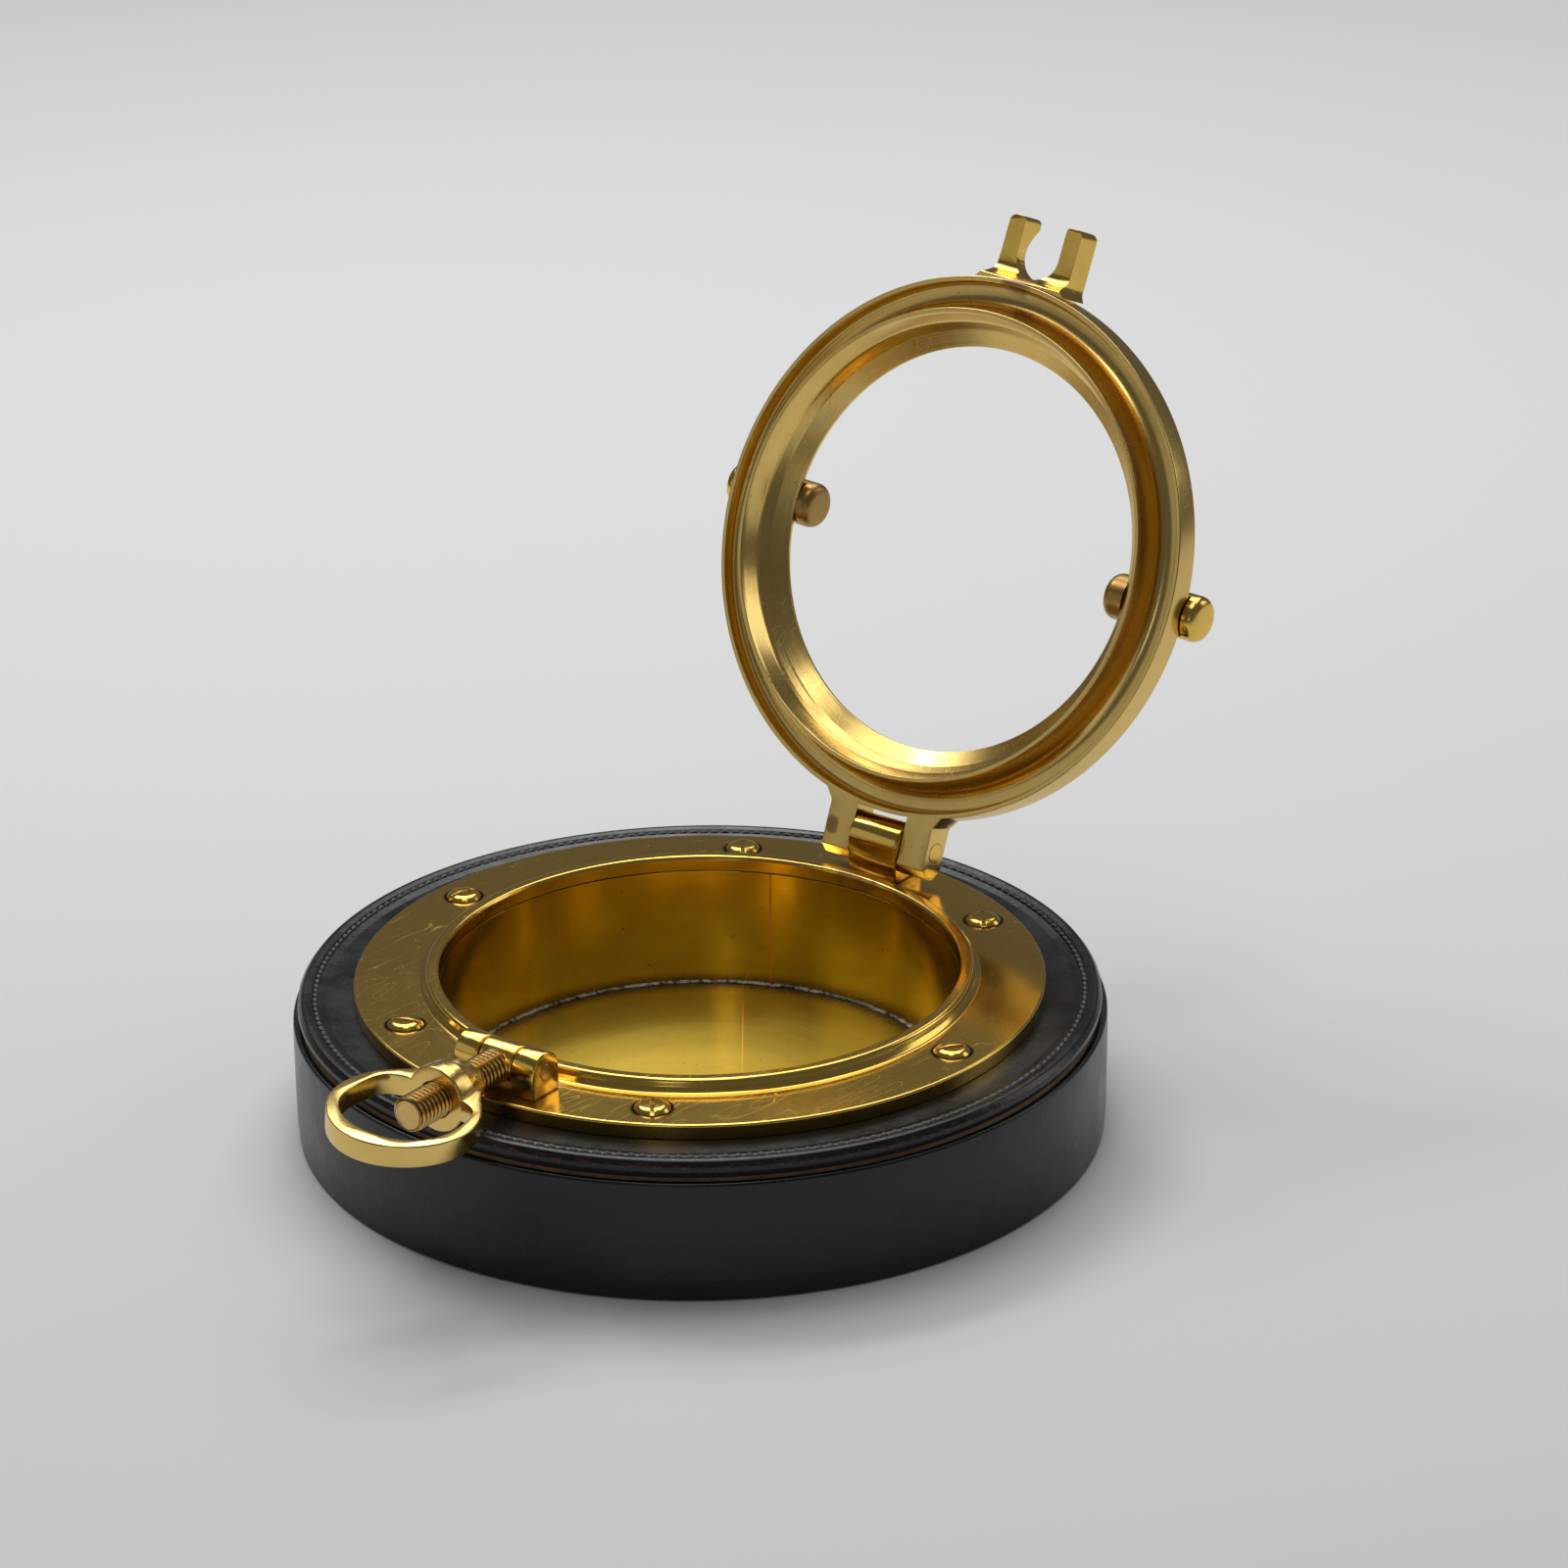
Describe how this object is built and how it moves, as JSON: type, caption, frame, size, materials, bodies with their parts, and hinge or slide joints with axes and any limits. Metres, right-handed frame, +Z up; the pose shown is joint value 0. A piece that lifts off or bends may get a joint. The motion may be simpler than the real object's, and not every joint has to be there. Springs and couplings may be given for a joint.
{
  "type": "porthole dish",
  "caption": "Round brass dish shaped like a ship's porthole, with a hinged open ring lid, a swing bolt and ring nut, on a leather-covered base.",
  "frame": {"origin": "centre of the flat underside", "axes": "+Z up, +Y towards the lid's hinge, +X along the hinge pin"},
  "size_m": [0.22, 0.3061, 0.2152],
  "materials": {
    "pad": "felt",
    "core_wood": "turned",
    "black_leather": "satin",
    "leather_lining": "raw edge",
    "polished_brass": "polished",
    "aged_brass": "aged"
  },
  "bodies": {
    "base": {"base_pad": "pad", "base_core": "core_wood", "side_leather": "black_leather", "top_lining": "leather_lining", "top_leather": "black_leather", "flange_ring": "polished_brass", "cup_wall": "aged_brass", "cup_floor": "aged_brass", "flange_screw_1": "polished_brass", "flange_screw_2": "polished_brass", "flange_screw_3": "polished_brass", "flange_screw_4": "polished_brass", "flange_screw_5": "polished_brass", "flange_screw_6": "polished_brass", "hinge_knuckle": "polished_brass", "clamp_ear_left": "polished_brass", "clamp_ear_right": "polished_brass", "clamp_pin": "aged_brass"},
    "lid": {"sash_ring": "polished_brass", "clamp_fork": "polished_brass", "rest_left": "aged_brass", "rest_right": "aged_brass", "hinge_pin": "polished_brass"},
    "bolt": {"swing_bolt": "aged_brass"},
    "nut": {"ring_nut": "polished_brass"}
  },
  "joints": [
    {"name": "lid_hinge", "type": "hinge", "parent": "base", "child": "lid", "pos_m": [0, 0.0836, 0.0516], "axis": [1, 0, 0], "range_deg": [0, 112.5]},
    {"name": "bolt_swing", "type": "hinge", "parent": "base", "child": "bolt", "pos_m": [0.0022, -0.0832, 0.0483], "axis": [-0.9997, -0.0262, 0], "range_deg": [0, 90]},
    {"name": "nut_turn", "type": "hinge", "parent": "bolt", "child": "nut", "pos_m": [0.0022, -0.0832, 0.0483], "axis": [0.0262, -0.9997, 0], "range_deg": [-15, 15]}
  ]
}
